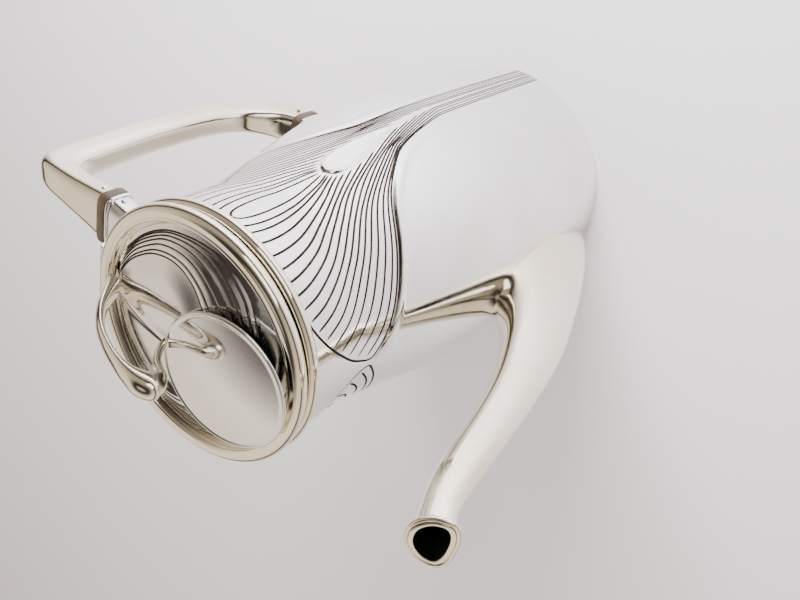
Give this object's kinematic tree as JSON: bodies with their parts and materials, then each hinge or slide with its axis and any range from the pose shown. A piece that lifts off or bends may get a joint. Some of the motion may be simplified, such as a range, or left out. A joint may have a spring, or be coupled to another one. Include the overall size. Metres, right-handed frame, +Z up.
{
  "type": "coffee pot",
  "caption": "Art Nouveau silver coffee pot with swan-neck spout, insulated loop handle and hinged lid with looped finial and leaf.",
  "frame": {"origin": "centre of the round base, on the pot's axis, on the face that it stands on", "axes": "+Z up along the pot's axis, -X towards the spout, +X towards the handle and the lid hinge"},
  "size_m": [0.1898, 0.0978, 0.1986],
  "materials": {
    "silver": "polished silver with fine wear scratches",
    "warm_silver": "polished silver with a slight warm tarnish",
    "engraved_silver": "polished silver with cut lines darkened by oxide",
    "insulator": "dark brown satin heat insulator"
  },
  "bodies": {
    "pot": {"body_shell": "engraved_silver", "base_plate": "silver", "mouth_ring": "warm_silver", "spout": "warm_silver", "spout_lip": "warm_silver", "upper_socket": "silver", "upper_insulator": "insulator", "upper_socket_pin": "silver", "upper_handle_pin": "silver", "lower_socket": "silver", "lower_insulator": "insulator", "lower_socket_pin": "silver", "lower_handle_pin": "silver", "handle": "warm_silver", "hinge_body_leaf": "silver", "hinge_pin": "silver"},
    "lid": {"hinge_lid_leaf": "silver", "lid_dome": "engraved_silver", "lid_rim": "warm_silver", "lid_collar": "silver", "finial_loop": "warm_silver", "lid_leaf": "silver"}
  },
  "joints": [
    {"name": "lid_hinge", "type": "hinge", "parent": "pot", "child": "lid", "pos_m": [0.0374, 0, 0.1731], "axis": [0, 1, 0], "range_deg": [0, 105]}
  ]
}
